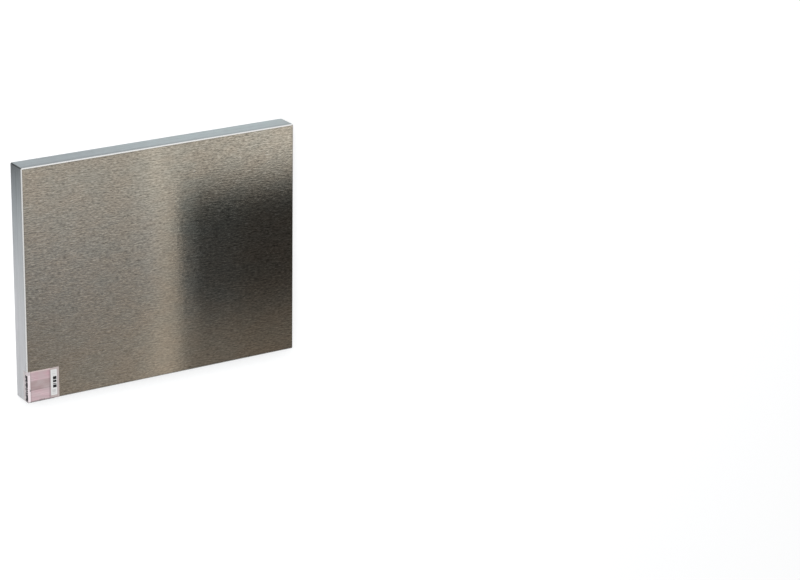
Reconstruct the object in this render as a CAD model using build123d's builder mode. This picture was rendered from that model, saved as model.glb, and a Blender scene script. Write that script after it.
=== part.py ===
"""Duralumin plate, cut and milled to size, lying flat with a self-adhesive sticker folded over one corner.

Lengths are in millimetres. X runs along the plate's length, Y along its width and Z up through its
thickness. The origin is the middle of the underside, so the plate rests on the plane Z = 0.
"""
import os

from build123d import *

# The plate
plate_length = 250.0
plate_width = 200.0
plate_thickness = 20.0
edge_chamfer = 0.8  # leg of the 45 degree deburring chamfer on all twelve edges

# The sticker on the corner at the low end of X and Y
sticker_length = 28.5  # along X, from the plate's side to the sticker's inner edge
sticker_width = 27.0  # along Y, from the plate's side to the sticker's inner edge
sticker_flap = 7.0  # from the plate's top face to the lower edge of each folded flap
film_thickness = 0.1

# Places worked out from the sizes above
low_x = -plate_length / 2
low_y = -plate_width / 2
flap_bottom = plate_thickness - sticker_flap


def make_plate():
    """The plate: one milled block with every edge broken by the same small chamfer."""
    with BuildPart() as plate:
        Box(
            plate_length,
            plate_width,
            plate_thickness,
            align=(Align.CENTER, Align.CENTER, Align.MIN),
        )
        chamfer(plate.edges(), edge_chamfer)
    plate.part.label = "plate"
    return plate.part


def film_section(plate_side, reach):
    """Cross-section of the film where it folds over one edge of the plate.

    Across runs along the first axis of the sketch and up along the second. The film lies on the top
    face as far as reach, crosses the chamfer and hangs down the side at plate_side, which is a low side.
    """
    with BuildSketch(mode=Mode.PRIVATE) as section:
        with BuildLine():
            on_plate = Polyline(
                (plate_side + reach, plate_thickness),
                (plate_side + edge_chamfer, plate_thickness),
                (plate_side, plate_thickness - edge_chamfer),
                (plate_side, flap_bottom),
            )
            offset(on_plate, amount=film_thickness, side=Side.RIGHT, closed=True)
        make_face()
    return section.sketch


def make_corner_sticker():
    """The sticker: a rectangle on the top face with a flap folded down each of the corner's two sides.

    Its outer corner is cut out, so that neither flap has to cross the plate's upright corner edge.
    """
    with BuildPart() as sticker:
        with BuildSketch(Plane.XZ.offset(-(low_y + edge_chamfer))):
            add(film_section(low_x, sticker_length))
        extrude(amount=-(sticker_width - edge_chamfer))
        with BuildSketch(Plane.YZ.offset(low_x + edge_chamfer)):
            add(film_section(low_y, sticker_width))
        extrude(amount=sticker_length - edge_chamfer)
    sticker.part.label = "corner_sticker"
    return sticker.part


os.makedirs("parts", exist_ok=True)
for piece in (make_plate(), make_corner_sticker()):
    export_step(piece, f"parts/{piece.label}.step")
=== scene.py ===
"""Looks of the duralumin plate: brushed face, milled sides, broken edges and the sticker on its corner.

Lengths are in metres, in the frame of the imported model: X along the plate, Y across it and Z up
through its thickness. The plate lies on the floor at Z = 0. What is laid out on the plate and the
sticker, such as grain and print, is in millimetres, and so is what is named _mm. Left, right, upper
and lower are as in the picture, where X runs to the right and Y up. Colours are linear.
"""

import bpy
from mathutils import Matrix, Vector


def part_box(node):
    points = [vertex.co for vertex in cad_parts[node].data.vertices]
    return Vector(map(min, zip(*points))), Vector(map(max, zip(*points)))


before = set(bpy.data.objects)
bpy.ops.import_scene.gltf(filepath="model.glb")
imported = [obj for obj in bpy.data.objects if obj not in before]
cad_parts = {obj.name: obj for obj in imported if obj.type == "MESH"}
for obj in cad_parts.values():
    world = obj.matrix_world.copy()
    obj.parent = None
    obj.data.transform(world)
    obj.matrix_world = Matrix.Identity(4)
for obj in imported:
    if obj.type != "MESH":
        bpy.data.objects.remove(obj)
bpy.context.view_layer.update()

MM = 0.001
plate_low, plate_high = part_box("plate")

# The camera, at the photograph's viewing angle
camera_place = Vector((-1.083, 0.810, 2.062))
camera_aim = Vector((0.2331, -0.0665, plate_high.z))  # where the picture's middle meets the face's plane
camera_top = Vector((0.170, 0.9405, -0.294))  # the direction that is up in the picture
camera_lens_mm = 133.5
camera_sensor_mm = 36.0
camera_near_clip = 0.05
camera_far_clip = 100.0

# The studio's light
world_light = 0.55  # what the world gives matt surfaces
horizon_mirrored = 1.0  # what glossy surfaces mirror of the world a little above its horizon
overhead_mirrored = 0.3
ground_share = 0.5  # how bright the world is mirrored below its horizon, as a share of horizon_mirrored
horizon_top = 0.3  # sine of the angle above the horizon at which the world begins to darken
overhead_start = 0.8  # sine of the angle at which it is as dark as overhead
soft_box_place = Vector((-0.9, 0.9, 1.5))
soft_box_size = 1.6
soft_box_watts = 30.0

# The floor
floor_reach = 6.0
floor_colour = (0.60, 0.605, 0.61)
floor_lift = 0.5  # what the camera sees of the floor besides the light that falls on it
corner_darkness = 0.85  # how dark the floor is mirrored left of the plate's upper left corner
corner_fading = 0.052  # how far along the plate's side that fades to about a third
corner_band = (0.08, 0.02, 0.002, -0.004)  # how far left of the plate it begins, is full, wanes and ends
outer_darkness = 0.75  # how dark the floor is mirrored further off, to the right and below
outer_start = 0.02  # how far from the plate that begins
outer_full = 0.1

# The cards over the plate, by the places on the face that mirror them
card_reach = 0.30  # how far they go where their sides don't show
card_top = 0.18

# The plate's grain. A streak is its length and width in mm, and a cell the size of a noise's patches
face_turn = 0.04  # how far the face's streaks turn from the plate's length, as a slope
side_step = 40.0  # what makes the streaks of opposite long sides different
short_streak = (2.9, 0.9)
long_streak = (9.5, 1.05)
hairline_streak = (25.0, 0.2)
milled_streak = (60.0, 0.8)
long_share = 0.4  # how much of the face's streaks are long ones
streak_wander = 2.7  # how far a streak's line strays sideways
wander_cell = (9.0, 5.0)
hairline_contrast = 0.3
milled_contrast = 0.5
upward_contrast = (-80.0, 50.0, 1.9, 2.75)  # from and to on Y, and how strong the face's streaks are there
rightward_contrast = (10.0, 70.0, 1.0, 1.18)  # from and to on X, and what that is multiplied by there

# The plate's metal
face_greys = ((0.71, 0.70, 0.655), (0.745, 0.70, 0.635))
cloud_cell = (26.0, 15.0)
cloud_range = (0.3, 0.7)  # the part of the clouds' noise over which one grey turns into the other
# Painted reflection over the sides' own grey: the ends are lighter than the long sides, and the ends
# darken towards the upper side and the long sides to the left
end_greys_with_painted_reflection = ((0.81, 0.815, 0.83), (0.70, 0.745, 0.765))
end_painted_reflection_range = (-40.0, 90.0)  # from and to on Y
long_side_greys_with_painted_reflection = ((0.535, 0.585, 0.605), (0.645, 0.715, 0.73))
long_side_painted_reflection_range = (-90.0, 50.0)  # from and to on X
# Painted highlight and shade on the chamfers: each way they face has its own grey, brightest on the long
# chamfers and dark on the upright ones
long_chamfer_highlight_grey = (0.93, 0.93, 0.92)
end_chamfer_highlight_grey = (0.80, 0.80, 0.79)
upright_chamfer_shade_grey = (0.44, 0.46, 0.47)
face_roughness = 0.205
roughness_contrast = 1.2  # how much the face's streaks vary it
side_roughness = 0.34
chamfer_roughness = 0.2
brushed_anisotropy = 0.6
face_relief = 0.00018  # how high the streaks stand, in metres
side_relief = 0.00003

# The painted shade in dark bands beside the plate's edges: where they begin and end in mm, and how bright
# they begin
face_shade_by_ends = (0.8, 2.4, 0.90)
face_shade_by_long_sides = (0.8, 2.4, 0.78)
end_shade_band = (0.8, 3.2, 0.86)
long_side_shade_band = (1.6, 6.4, 0.80)

# The sticker's film and inks
film_colour = (0.48, 0.415, 0.405)  # where nothing is printed
film_roughness = 0.38
film_specular = 0.3
field_metallic = 0.2
black = (0.010, 0.010, 0.012)
mauve = (0.13, 0.08, 0.10)
white = (0.71, 0.71, 0.71)

# The sticker's print on the face, in mm. Each row is a box, its ink and the ink's strength
usual_softness = 0.1
border_rows = (
    ((-1.2, 30.0, -1.2, 0.5), (0.84, 0.79, 0.81), 1.0),  # the fold over the long side
    ((-1.2, 2.7, -9.0, 30.0), (0.81, 0.735, 0.76), 1.0),  # the fold over the end and the border beside it
    ((-1.2, 2.7, 24.0, 30.0, 0.5), (0.56, 0.51, 0.525), 1.0),  # the border's upper end
)
line_rows = (
    ((2.6, 20.6, 25.9, 27.5), (0.72, 0.60, 0.58), 0.7),  # the field's upper side
    ((2.4, 20.6, 10.6, 11.1), mauve, 0.3),  # across the field
    ((2.8, 3.6, 1.4, 27.5), mauve, 0.25),  # the field's left side
    ((2.3, 27.0, 0.8, 1.4), mauve, 0.5),  # below the field and the strip
    ((19.4, 21.1, 1.4, 25.8), mauve, 0.3),  # between the field and the strip
    ((26.7, 27.1, 1.4, 25.8), mauve, 0.3),  # the strip's right side
)
strip_rows = (
    ((21.1, 26.7, 3.0, 25.3), white, 1.0),  # the strip itself
    ((23.0, 26.2, 9.4, 11.9), black, 1.0),  # the blocks on it
    ((23.0, 26.2, 12.4, 13.1), black, 1.0),
    ((23.0, 26.2, 14.0, 15.9), black, 1.0),
    ((23.0, 26.2, 16.5, 19.2), black, 1.0),
)
faint_rows = (
    ((22.3, 25.5, 3.9, 8.0), black, 0.22),  # below the blocks
    ((22.3, 25.5, 19.9, 24.4), black, 0.15),  # above them
)
faint_pitch = 0.6
faint_share = 0.5
faint_seed = 11.0

# The pink field of the sticker's print
field_box = (2.8, 20.6, 1.4, 27.5)
field_pinks = ((0.50, 0.355, 0.385), (0.74, 0.56, 0.60))
field_line_cell = (40.0, 0.8)
field_line_range = (0.25, 0.75)
field_band = (10.4, 18.6, 0.6)  # the low and high side of a darker band across it, and their softness
field_band_ink = (0.335, 0.26, 0.25)
field_band_strength = 0.65
field_rows = (
    ((8.0, 21.0, 19.0, 25.5, 1.5), (0.60, 0.385, 0.43), 0.6),  # a stronger pink in its upper right part
)
tint_grey = (0.56, 0.49, 0.50)
tint_cell = (9.0, 7.0)
tint_range = (0.35, 0.65)
tint_strength = 0.5

# The small marks on the sticker's borders: the place along the fold, the size and the strength of each
marks = ((10.6, 1.0, 0.9), (12.2, 0.5, 0.6), (14.2, 0.5, 0.6))
mark_softness = 0.2
dot_left = 2.0
tick_width = 0.9
tick_low = -0.9
tick_high = 2.0
tick_strength = 0.6

# The print on the sticker's flaps, in mm and below 0 beyond the fold
flap_start = -1.4
flap_grey = (0.64, 0.60, 0.61)
flap_strength = 0.8
# A painted highlight along each flap's outer edge: where it lies, and its grey
flap_painted_highlight = (-7.2, -6.3)
flap_painted_highlight_grey = (0.70, 0.67, 0.68)
row_ink = (0.02, 0.015, 0.02)
row_ends = (0.8, 24.0)  # along the fold
short_bars = (-2.5, 0.4)
tall_bars = (-3.4, 0.4)
tall_pitch = 1.8
tall_share = 0.6
tall_seed_step = 3.0
full_pitch = 0.9
full_share = 0.7  # how much of the row is inked in full
gap_strength = 0.65  # how strong the ink is in the rest
left_flap_seed = 5.0
lower_flap_seed = 8.0

# The mix node's first and second input and its output, by its kind
mix_sockets = {"FLOAT": (2, 3, 0), "VECTOR": (4, 5, 1), "RGBA": (6, 7, 2)}

# How much of a normal is along an axis. On a chamfer it is 0.71
facing_partly = 0.5
facing_wholly = 0.9


def make_camera():
    """A long lens well above the plate, rolled so that Y runs up in the picture."""
    data = bpy.data.cameras.new("camera")
    data.lens = camera_lens_mm
    data.sensor_width = camera_sensor_mm
    data.clip_start = camera_near_clip
    data.clip_end = camera_far_clip
    camera = bpy.data.objects.new("camera", data)
    bpy.context.scene.collection.objects.link(camera)
    back = (camera_place - camera_aim).normalized()
    right = camera_top.cross(back).normalized()
    up = back.cross(right)
    turned = Matrix((right, up, back)).transposed().to_4x4()
    camera.matrix_world = Matrix.Translation(camera_place) @ turned
    bpy.context.scene.camera = camera


class Nodes:
    """Makes and joins the nodes of one material or world. Values are plain or other nodes' outputs."""

    def __init__(self, owner):
        owner.use_nodes = True
        self.tree = owner.node_tree
        self.tree.nodes.clear()

    def add(self, kind, inputs=None, **settings):
        """A new node with those settings and with a value in each of those inputs."""
        node = self.tree.nodes.new(kind)
        for name, value in settings.items():
            setattr(node, name, value)
        for name, value in (inputs or {}).items():
            self.put(node.inputs[name], value)
        return node

    def put(self, socket, value):
        """Joins the value to the input where it is another node's output, and else sets it there."""
        if isinstance(value, bpy.types.NodeSocket):
            self.tree.links.new(value, socket)
        elif socket.type == "RGBA":
            socket.default_value = (*value, 1.0)
        else:
            socket.default_value = value

    def mix(self, kind, share, first, second):
        """First where share is 0 and second where it is 1, of one of the mix node's kinds."""
        first_input, second_input, output = mix_sockets[kind]
        inputs = {"Factor": share, first_input: first, second_input: second}
        return self.add("ShaderNodeMix", inputs, data_type=kind).outputs[output]

    def mix_numbers(self, share, first, second):
        return self.mix("FLOAT", share, first, second)

    def mix_colours(self, share, first, second):
        return self.mix("RGBA", share, first, second)

    def mix_vectors(self, share, first, second):
        return self.mix("VECTOR", share, first, second)

    def math(self, operation, first, second=0.0, third=0.0):
        inputs = {0: first, 1: second, 2: third}
        return self.add("ShaderNodeMath", inputs, operation=operation).outputs[0]

    def chain(self, operation, first, *others):
        """All the values joined by one operation, from left to right."""
        for other in others:
            first = self.math(operation, first, other)
        return first

    def total(self, *values):
        return self.chain("ADD", *values)

    def product(self, *values):
        return self.chain("MULTIPLY", *values)

    def highest(self, *values):
        return self.chain("MAXIMUM", *values)

    def ramp(self, value, start, end, at_start=0.0, at_end=1.0):
        """Goes smoothly from at_start to at_end as the value goes from start to end, and stays there."""
        inputs = {"Value": value, "From Min": start, "From Max": end, "To Min": at_start, "To Max": at_end}
        return self.add("ShaderNodeMapRange", inputs, interpolation_type="SMOOTHSTEP").outputs["Result"]

    def dimmed(self, share, amount):
        """A factor that falls from 1 by that amount as share goes from 0 to 1."""
        return self.math("MULTIPLY_ADD", share, -amount, 1.0)

    def varied(self, noise, amount):
        """A factor about 1 that follows a noise."""
        return self.math("MULTIPLY_ADD", self.math("SUBTRACT", noise, 0.5), amount, 1.0)

    def noise(self, place, cell, detail=2.0):
        """Noise from 0 to 1 at a place, (x, y, z), in cells of a length along x and a width along y."""
        x, y, z = place
        length, width = cell
        inputs = {0: self.math("DIVIDE", x, length), 1: self.math("DIVIDE", y, width), 2: z}
        spot = self.add("ShaderNodeCombineXYZ", inputs).outputs[0]
        inputs = {"Vector": spot, "Scale": 1.0, "Detail": detail}
        return self.add("ShaderNodeTexNoise", inputs).outputs["Fac"]

    def scaled(self, vector, factor):
        """A vector or colour times a factor."""
        node = self.add("ShaderNodeVectorMath", {0: vector, "Scale": factor}, operation="SCALE")
        return node.outputs[0]

    def parts(self, vector):
        """A vector's x, y and z."""
        return self.add("ShaderNodeSeparateXYZ", {0: vector}).outputs

    def coordinates(self):
        """The shaded point's places and normal, by Blender's names for them."""
        return self.add("ShaderNodeTexCoord").outputs


def make_world():
    """A studio that is mirrored pale at the horizon and grey overhead. To the camera it is white."""
    world = bpy.data.worlds.new("studio")
    bpy.context.scene.world = world
    nodes = Nodes(world)
    _, _, height = nodes.parts(nodes.coordinates()["Generated"])
    overhead = nodes.ramp(height, horizon_top, overhead_start, horizon_mirrored, overhead_mirrored)
    ground = nodes.ramp(height, 0.0, horizon_top, ground_share, 1.0)
    path = nodes.add("ShaderNodeLightPath").outputs
    strength = nodes.mix_numbers(path["Is Glossy Ray"], world_light, nodes.product(overhead, ground))
    strength = nodes.mix_numbers(path["Is Camera Ray"], strength, 1.0)
    background = nodes.add("ShaderNodeBackground", {"Color": (1, 1, 1), "Strength": strength})
    nodes.add("ShaderNodeOutputWorld", {"Surface": background.outputs[0]})


def rectangle(name, low, high, height):
    """A flat stage piece between two corners, (x, y), at that height, facing down."""
    (left, lower), (right, upper) = low, high
    mesh = bpy.data.meshes.new(name)
    corners = [(left, lower, 0), (left, upper, 0), (right, upper, 0), (right, lower, 0)]
    mesh.from_pydata(corners, [], [(0, 1, 2, 3)])
    piece = bpy.data.objects.new(name, mesh)
    piece.location.z = height
    bpy.context.scene.collection.objects.link(piece)
    return piece


def floor_darkness(nodes):
    """How dark the floor is mirrored, from 0 to 1: by the upper left corner, and off right and below."""
    x, y, _ = nodes.parts(nodes.coordinates()["Object"])
    from_corner = nodes.math("ABSOLUTE", nodes.math("SUBTRACT", y, plate_high.y))
    fading = nodes.math("EXPONENT", nodes.math("DIVIDE", from_corner, -corner_fading))
    begins, full, wanes, ends = [plate_low.x - distance for distance in corner_band]
    band = nodes.product(nodes.ramp(x, wanes, ends, corner_darkness, 0.0), nodes.ramp(x, begins, full))
    by_corner = nodes.product(fading, band)
    right = nodes.ramp(x, plate_high.x + outer_start, plate_high.x + outer_full, 0.0, outer_darkness)
    below = nodes.ramp(y, plate_low.y - outer_start, plate_low.y - outer_full, 0.0, outer_darkness)
    return nodes.highest(by_corner, right, below)


def make_floor():
    """A white floor that keeps the plate's shadow."""
    floor = rectangle("floor", (-floor_reach, -floor_reach), (floor_reach, floor_reach), 0.0)
    material = bpy.data.materials.new("floor_white")
    nodes = Nodes(material)
    path = nodes.add("ShaderNodeLightPath").outputs
    shade = nodes.product(path["Is Glossy Ray"], floor_darkness(nodes))
    colour = nodes.mix_colours(shade, floor_colour, (0, 0, 0))
    diffuse = nodes.add("ShaderNodeBsdfDiffuse", {"Color": colour}).outputs[0]
    lift = nodes.product(path["Is Camera Ray"], floor_lift)
    glow = nodes.add("ShaderNodeEmission", {"Strength": lift}).outputs[0]
    both = nodes.add("ShaderNodeAddShader", {0: diffuse, 1: glow}).outputs[0]
    nodes.add("ShaderNodeOutputMaterial", {"Surface": both})
    floor.data.materials.append(material)


def make_soft_light():
    """One large soft box on the camera's side of the plate, so that the shadow falls away from it."""
    data = bpy.data.lights.new("soft_box", "AREA")
    data.shape = "RECTANGLE"
    data.size = soft_box_size
    data.size_y = soft_box_size
    data.energy = soft_box_watts
    light = bpy.data.objects.new("soft_box", data)
    bpy.context.scene.collection.objects.link(light)
    light.location = soft_box_place
    light.rotation_mode = "QUATERNION"
    light.rotation_quaternion = soft_box_place.to_track_quat("Z", "Y")


def mirrored(x, y, height):
    """The place at that height over the face that the camera sees mirrored at the face's point (x, y)."""
    share = height / (camera_place.z - plate_high.z)
    return x + (x - camera_place.x) * share, y + (y - camera_place.y) * share


class Mirrored:
    """Values that change over a card, told by the places on the face that mirror it."""

    def __init__(self, nodes, height):
        self.nodes = nodes
        self.x, self.y, _ = nodes.parts(nodes.coordinates()["Object"])
        self.height = height

    def right(self, start, end, at_start=0.0, at_end=1.0):
        """Goes from at_start to at_end between two places on X."""
        places = [mirrored(x, 0, self.height)[0] for x in (start, end)]
        return self.nodes.ramp(self.x, *places, at_start, at_end)

    def up(self, start, end, at_start=0.0, at_end=1.0):
        """Goes from at_start to at_end between two places on Y."""
        places = [mirrored(0, y, self.height)[1] for y in (start, end)]
        return self.nodes.ramp(self.y, *places, at_start, at_end)


def make_card(name, glow, height, left, right=card_reach, top=card_top, lean=0.0):
    """A card over the plate that only glossy surfaces see. Its sides are where the face mirrors them.

    glow makes the card's colour, strength and cover, from 0 to 1, with the card's nodes and the
    places on it. The card's upper left corner is further left than its lower one by lean.
    """
    low = mirrored(left, -card_reach, height)
    high = mirrored(right, top, height)
    card = rectangle(name, low, high, plate_high.z + height)
    upper_left = card.data.vertices[1]
    upper_left.co.x -= lean
    material = bpy.data.materials.new(name)
    nodes = Nodes(material)
    colour, strength, cover = glow(nodes, Mirrored(nodes, height))
    emission = nodes.add("ShaderNodeEmission", {"Color": colour, "Strength": strength}).outputs[0]
    clear = nodes.add("ShaderNodeBsdfTransparent").outputs[0]
    surface = nodes.add("ShaderNodeMixShader", {0: cover, 1: clear, 2: emission}).outputs[0]
    nodes.add("ShaderNodeOutputMaterial", {"Surface": surface})
    material.cycles.emission_sampling = "NONE"
    card.data.materials.append(material)
    card.visible_camera = False
    card.visible_diffuse = False
    card.visible_shadow = False
    card.visible_transmission = False


def grey_strength(nodes, on, middle):
    """Brighter upwards and to the right, and darker in the lower left and left of the middle."""
    over_face = on.up(-0.03, 0.09, 0.22, 0.40)
    past_upper_side = on.up(0.08, 0.15, 0.0, 0.1)
    along_lower_side = on.up(-0.045, -0.07, 0.0, 0.014)
    strength = nodes.total(over_face, past_upper_side, along_lower_side)

    lower_left = nodes.product(on.right(-0.08, -0.11), on.up(0.04, 0.0))
    rightward = on.right(0.02, 0.11, 1.0, 1.45)
    left_of_middle = nodes.product(on.right(-0.075, -0.055), on.right(0.0, -0.02))
    patch = nodes.product(middle, left_of_middle)
    return nodes.product(strength, nodes.dimmed(lower_left, 0.22), rightward, nodes.dimmed(patch, 0.18))


def grey_colour(nodes, on, middle):
    """Warm, less so higher up, and neutral left of the middle."""
    lower_tint = (1.14, 1.0, 0.83)
    upper_tint = nodes.mix_colours(on.right(-0.06, -0.10), (1.08, 1.02, 0.91), (1.10, 1.015, 0.89))
    neutral_tint = (1.01, 1.005, 1.02)
    warm = nodes.mix_colours(on.up(-0.1, 0.08), lower_tint, upper_tint)
    return nodes.mix_colours(nodes.product(middle, on.right(0.01, -0.035)), warm, neutral_tint)


def grey_gradient(nodes, on):
    """The grey card, which nothing shows through."""
    middle = nodes.product(on.up(-0.07, -0.01), on.up(0.07, 0.03))
    return grey_colour(nodes, on, middle), grey_strength(nodes, on, middle), 1.0


def soft_gradient(nodes, on):
    """The grey card's colour and strength, lifted, more so lower down, with a soft left edge."""
    colour, strength, _ = grey_gradient(nodes, on)
    lift = nodes.product(on.up(-0.02, 0.08, 1.40, 1.17), on.right(-0.004, 0.014, 1.03, 0.93))
    left_edge = on.right(-0.024, -0.008)
    return colour, nodes.product(strength, lift), left_edge


def crisp_gradient(nodes, on):
    """A little brighter than the soft strip. Its left edge is crisp in its upper part and soft below."""
    colour, strength, _ = grey_gradient(nodes, on)
    lift = on.up(-0.02, 0.05, 1.50, 1.25)
    crisp_edge = on.right(-0.0165, -0.0125)
    soft_edge = on.right(-0.018, 0.0)
    left_edge = nodes.mix_numbers(on.up(0.0, -0.04), crisp_edge, soft_edge)
    right_edge = on.right(0.015, -0.002)
    return colour, nodes.product(strength, lift), nodes.product(left_edge, right_edge)


def dark_strength(nodes, on):
    """Nearly black, lighter towards the plate's lower side, with a lighter border on the left."""
    rightward = on.right(0.05, 0.10, 1.05, on.up(-0.03, -0.08, 0.70, 0.86))
    inside = nodes.product(on.up(-0.10, -0.02, 0.13, 0.034), rightward)
    border_light = nodes.total(on.up(-0.02, -0.06, 0.10, 0.15), on.up(0.03, 0.07, 0.0, 0.10))
    upper_border = on.right(0.030, 0.034, 1.0, 0.0)
    lower_border = on.right(0.0335, 0.0375, 1.0, 0.0)
    border = nodes.mix_numbers(on.up(-0.03, -0.075), upper_border, lower_border)
    return nodes.highest(inside, nodes.product(border_light, border))


def dark_colour(nodes, on):
    """Neutral, and browner towards the plate's lower side and its right end."""
    off_right = nodes.product(on.right(0.045, 0.10, 0.0, 0.75), on.up(0.045, 0.015, 0.1, 1.0))
    below = on.up(-0.03, -0.08, 0.0, on.right(0.055, 0.085, 0.72, 1.0))
    neutral_tint = nodes.mix_colours(on.up(0.005, 0.04), (1.0, 1.01, 0.97), (0.92, 1.0, 0.97))
    brown_tint = (1.19, 1.0, 0.80)
    return nodes.mix_colours(nodes.highest(below, off_right), neutral_tint, brown_tint)


def dark_gradient(nodes, on):
    """The dark card, which fades out towards its upper side."""
    upper_fade = on.up(0.088, 0.037)
    return dark_colour(nodes, on), dark_strength(nodes, on), upper_fade


def make_cards():
    """What the brushed face mirrors: a grey card, two lighter strips and a straight-edged dark card."""
    make_card("grey_card", grey_gradient, height=0.40, left=-card_reach)
    make_card("soft_strip", soft_gradient, height=0.15, left=-0.034, right=0.03)
    make_card("crisp_strip", crisp_gradient, height=0.05, left=-0.02, right=0.016)
    make_card("dark_card", dark_gradient, height=0.06, left=0.0224, top=0.10, lean=0.0095)


class Surface:
    """The shaded point of a CAD node: its place in mm and which way the surface faces there."""

    def __init__(self, nodes):
        coordinates = nodes.coordinates()
        self.x, self.y, self.z = nodes.parts(nodes.scaled(coordinates["Object"], 1 / MM))
        self.facing_x, self.facing_y, facing_z = nodes.parts(coordinates["Normal"])
        along_x = nodes.math("ABSOLUTE", self.facing_x)
        along_y = nodes.math("ABSOLUTE", self.facing_y)
        along_z = nodes.math("ABSOLUTE", facing_z)
        self.on_end = nodes.math("GREATER_THAN", along_x, facing_partly)
        self.on_face = nodes.math("GREATER_THAN", along_z, facing_wholly)
        self.on_upright = nodes.math("LESS_THAN", along_z, facing_partly)
        along_any = nodes.highest(along_x, along_y, along_z)
        self.off_chamfer = nodes.math("GREATER_THAN", along_any, facing_wholly)


class Grain:
    """Brushed streaks that run along whichever side of the plate is shaded."""

    def __init__(self, nodes, on):
        self.nodes = nodes
        self.along = nodes.mix_numbers(on.on_end, on.x, on.y)
        turned = nodes.math("MULTIPLY_ADD", on.x, face_turn, on.y)
        self.across = nodes.mix_numbers(on.on_face, on.z, turned)
        self.layer = nodes.math("MULTIPLY_ADD", on.facing_y, side_step, on.z)

    def streaks(self, size, wander=0.0):
        """Noise in streaks of that size, whose lines stray sideways by up to so many mm."""
        line = self.across
        if wander:
            bends = self.nodes.noise((self.along, self.across, self.layer), wander_cell)
            line = self.nodes.math("MULTIPLY_ADD", bends, wander, self.across)
        return self.nodes.noise((self.along, line, self.layer), size)


def painted_edge_shade(nodes, on):
    """A factor of painted shade that darkens the face and the sides in a narrow band along their broken
    edges.
    """
    from_end = nodes.math("SUBTRACT", plate_high.x / MM, nodes.math("ABSOLUTE", on.x))
    from_long_side = nodes.math("SUBTRACT", plate_high.y / MM, nodes.math("ABSOLUTE", on.y))
    by_ends = nodes.ramp(from_end, *face_shade_by_ends, 1.0)
    by_long_sides = nodes.ramp(from_long_side, *face_shade_by_long_sides, 1.0)
    below_face = nodes.math("SUBTRACT", plate_high.z / MM, on.z)
    on_long_sides = nodes.ramp(below_face, *long_side_shade_band, 1.0)
    on_ends = nodes.ramp(below_face, *end_shade_band, 1.0)
    on_sides = nodes.mix_numbers(on.on_end, on_long_sides, on_ends)
    return nodes.mix_numbers(on.on_face, on_sides, nodes.product(by_ends, by_long_sides))


def flat_colour(nodes, on):
    """The face's greys in faint clouds, and the sides' greys, which change from end to end as painted
    reflection.
    """
    cloud = nodes.noise((on.x, on.y, on.z), cloud_cell)
    face = nodes.mix_colours(nodes.ramp(cloud, *cloud_range), *face_greys)
    # painted reflection: the ends darken upwards and the long sides to the left
    end = nodes.mix_colours(nodes.ramp(on.y, *end_painted_reflection_range), *end_greys_with_painted_reflection)
    long_side = nodes.mix_colours(nodes.ramp(on.x, *long_side_painted_reflection_range), *long_side_greys_with_painted_reflection)
    side = nodes.mix_colours(on.on_end, long_side, end)
    return nodes.mix_colours(on.on_face, side, face)


def flat_tone(nodes, on, grain, height):
    """How bright each streak is. On the face their contrast grows upwards and to the right."""
    upward = nodes.ramp(on.y, *upward_contrast)
    rightward = nodes.ramp(on.x, *rightward_contrast)
    hairlines = nodes.varied(grain.streaks(hairline_streak), hairline_contrast)
    milling = nodes.varied(grain.streaks(milled_streak), milled_contrast)
    brushing = nodes.varied(height, nodes.product(upward, rightward))
    side_tone = nodes.product(milling, hairlines)
    face_tone = nodes.product(brushing, hairlines)
    return nodes.mix_numbers(on.on_face, side_tone, face_tone)


def metal_colour(nodes, on, grain, height):
    """Streaked greys with painted shade beside the edges, and the chamfers' plain greys, which hold
    painted highlight and shade.
    """
    streaked = nodes.scaled(flat_colour(nodes, on), flat_tone(nodes, on, grain, height))
    # painted shade in bands along the broken edges
    flat = nodes.scaled(streaked, painted_edge_shade(nodes, on))
    # painted highlight and shade: a grey for each way the chamfers face
    chamfer = nodes.mix_colours(on.on_end, long_chamfer_highlight_grey, end_chamfer_highlight_grey)
    chamfer = nodes.mix_colours(on.on_upright, chamfer, upright_chamfer_shade_grey)
    return nodes.mix_colours(on.off_chamfer, chamfer, flat)


def metal_roughness(nodes, on, height):
    """Follows the streaks on the face, and is even on the sides and the chamfers."""
    face = nodes.product(nodes.varied(height, roughness_contrast), face_roughness)
    flat = nodes.mix_numbers(on.on_face, side_roughness, face)
    return nodes.mix_numbers(on.off_chamfer, chamfer_roughness, flat)


def brushed_tangent(nodes, on):
    """The tangent around the plate's length, and on its ends the one around its width."""
    around_length = nodes.add("ShaderNodeTangent", direction_type="RADIAL", axis="X").outputs[0]
    around_width = nodes.add("ShaderNodeTangent", direction_type="RADIAL", axis="Y").outputs[0]
    return nodes.mix_vectors(on.on_end, around_length, around_width)


def plate_material():
    """Duralumin: a face brushed along the length, sides milled lengthwise and bright filed chamfers, with
    painted highlight on the long chamfers and painted shade on the upright ones.
    """
    material = bpy.data.materials.new("duralumin")
    nodes = Nodes(material)
    on = Surface(nodes)
    grain = Grain(nodes, on)
    short = grain.streaks(short_streak, streak_wander)
    long = grain.streaks(long_streak, streak_wander)
    height = nodes.mix_numbers(long_share, short, long)
    relief = nodes.mix_numbers(on.on_face, side_relief, face_relief)
    bump = nodes.add("ShaderNodeBump", {"Strength": 1.0, "Distance": relief, "Height": height})
    metal = nodes.add("ShaderNodeBsdfPrincipled", {
        "Base Color": metal_colour(nodes, on, grain, height),
        "Metallic": 1.0,
        "Roughness": metal_roughness(nodes, on, height),
        "Anisotropic": brushed_anisotropy,
        "Tangent": brushed_tangent(nodes, on),
        "Normal": bump.outputs[0],
    })
    nodes.add("ShaderNodeOutputMaterial", {"Surface": metal.outputs[0]})
    return material


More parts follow.
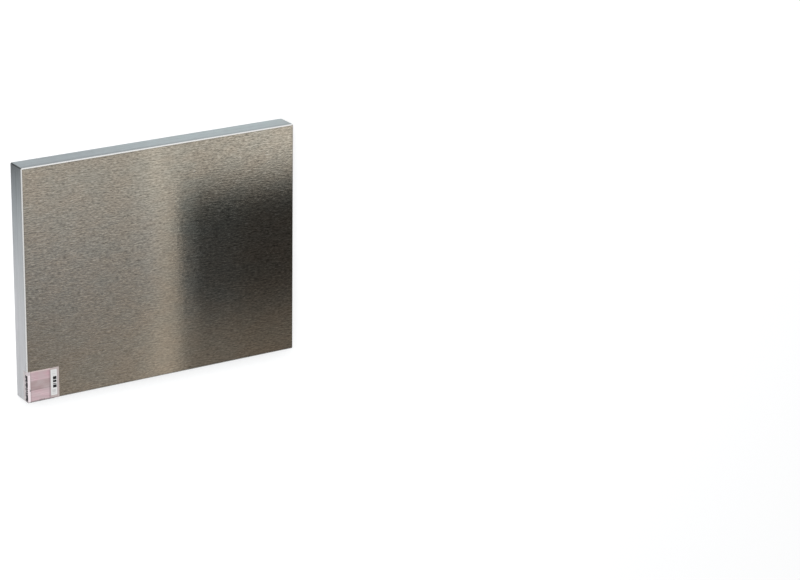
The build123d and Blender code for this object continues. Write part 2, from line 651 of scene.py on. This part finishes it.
class Print:
    """The sticker's print, laid out on the film as it is before folding.

    Right runs from the fold over the plate's end and up from the fold over its long side, in mm. Both
    are below 0 on the flaps. A box is its left, right, low and high, and how soft its edges are
    where that isn't the usual.
    """

    def __init__(self, nodes):
        self.nodes = nodes
        on = Surface(nodes)
        drop = nodes.math("SUBTRACT", on.z, plate_high.z / MM)
        self.right = self.unfolded(on.x, plate_low.x / MM, on.facing_x, drop)
        self.up = self.unfolded(on.y, plate_low.y / MM, on.facing_y, drop)

    def unfolded(self, place, side, facing, drop):
        """How far a place is from the plate's side, and on the flap over that side also how far down."""
        folded = self.nodes.math("LESS_THAN", facing, -facing_partly)
        return self.nodes.math("MULTIPLY_ADD", drop, folded, self.nodes.math("SUBTRACT", place, side))

    def between(self, value, low, high, soft=usual_softness):
        """1 from low to high and 0 outside, with soft edges."""
        rise = self.nodes.ramp(value, low - soft, low + soft)
        fall = self.nodes.ramp(value, high + soft, high - soft)
        return self.nodes.product(rise, fall)

    def box(self, left, right, low, high, soft=usual_softness):
        """1 in a box and 0 outside."""
        across = self.between(self.right, left, right, soft)
        return self.nodes.product(across, self.between(self.up, low, high, soft))

    def bars(self, along, pitch, share, seed):
        """Bars of uneven width: each pitch of the way along is inked or not by chance."""
        cell = self.nodes.math("FLOOR", self.nodes.math("DIVIDE", along, pitch))
        place = {"W": self.nodes.math("ADD", cell, seed)}
        chance = self.nodes.add("ShaderNodeTexWhiteNoise", place, noise_dimensions="1D")
        return self.nodes.math("LESS_THAN", chance.outputs["Value"], share)

    def inked(self, colour, mask, ink, strength=1.0):
        """The colour with the ink laid over it where the mask is 1."""
        return self.nodes.mix_colours(self.nodes.product(mask, strength), colour, ink)

    def inked_rows(self, colour, rows):
        """The colour with each row's ink laid over its box, in their order."""
        for box, ink, strength in rows:
            colour = self.inked(colour, self.box(*box), ink, strength)
        return colour


def pink_field(nodes, label):
    """Fine lighter and darker lines along the label, tinted grey in patches."""
    place = (label.right, label.up, 0.0)
    lines = nodes.noise(place, field_line_cell, detail=1.0)
    pink = nodes.mix_colours(nodes.ramp(lines, *field_line_range), *field_pinks)
    pink = label.inked(pink, label.between(label.up, *field_band), field_band_ink, field_band_strength)
    pink = label.inked_rows(pink, field_rows)
    tint = nodes.ramp(nodes.noise(place, tint_cell), *tint_range, 0.0, tint_strength)
    return nodes.mix_colours(tint, pink, tint_grey)


def faint_bars(nodes, label, colour):
    """Fine bars below and above the strip's blocks."""
    for box, ink, strength in faint_rows:
        bars = label.bars(label.up, faint_pitch, faint_share, faint_seed)
        colour = label.inked(colour, nodes.product(label.box(*box), bars), ink, strength)
    return colour


def small_marks(label, colour):
    """Dark dots on the left border, and for each of them a paler tick over the lower fold."""
    for place, size, strength in marks:
        dot = label.box(dot_left, dot_left + size, place - size / 2, place + size / 2, mark_softness)
        tick = label.box(place, place + tick_width, tick_low, tick_high, mark_softness)
        colour = label.inked(colour, dot, black, strength)
        colour = label.inked(colour, tick, mauve, tick_strength)
    return colour


def flap_print(nodes, label, colour, across, along, seed):
    """One flap: a grey ground with a painted highlight along its outer rim, and a dark row of short and
    tall bars by the fold.
    """
    ground = nodes.math("LESS_THAN", across, flap_start)
    colour = label.inked(colour, ground, flap_grey, flap_strength)
    # painted highlight along the flap's outer edge
    colour = label.inked(colour, label.between(across, *flap_painted_highlight), flap_painted_highlight_grey)
    short = label.between(across, *short_bars)
    chance = label.bars(along, tall_pitch, tall_share, seed + tall_seed_step)
    tall = nodes.product(label.between(across, *tall_bars), chance)
    row = nodes.product(nodes.highest(short, tall), label.between(along, *row_ends))
    full = label.bars(along, full_pitch, full_share, seed)
    strength = nodes.math("MULTIPLY_ADD", full, 1.0 - gap_strength, gap_strength)
    return label.inked(colour, nodes.product(row, strength), row_ink)


def sticker_material():
    """A folded label: a pink field of fine lines, a white strip with bars and a dark row on the flaps."""
    material = bpy.data.materials.new("sticker_film")
    nodes = Nodes(material)
    label = Print(nodes)
    field = label.box(*field_box)
    colour = label.inked_rows(film_colour, border_rows)
    colour = nodes.mix_colours(field, colour, pink_field(nodes, label))
    colour = label.inked_rows(colour, line_rows)
    colour = label.inked_rows(colour, strip_rows)
    colour = faint_bars(nodes, label, colour)
    colour = small_marks(label, colour)
    colour = flap_print(nodes, label, colour, label.right, label.up, left_flap_seed)
    colour = flap_print(nodes, label, colour, label.up, label.right, lower_flap_seed)

    film = nodes.add("ShaderNodeBsdfPrincipled", {
        "Base Color": colour,
        "Metallic": nodes.product(field, field_metallic),
        "Roughness": film_roughness,
        "Specular IOR Level": film_specular,
    })
    nodes.add("ShaderNodeOutputMaterial", {"Surface": film.outputs[0]})
    return material


def dress(node, material):
    """Gives a CAD node its finish."""
    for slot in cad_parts[node].material_slots:
        slot.material = material


def main():
    bpy.context.scene.view_settings.view_transform = "Standard"
    make_camera()
    make_world()
    make_floor()
    make_soft_light()
    make_cards()
    dress("plate", plate_material())
    dress("corner_sticker", sticker_material())


main()
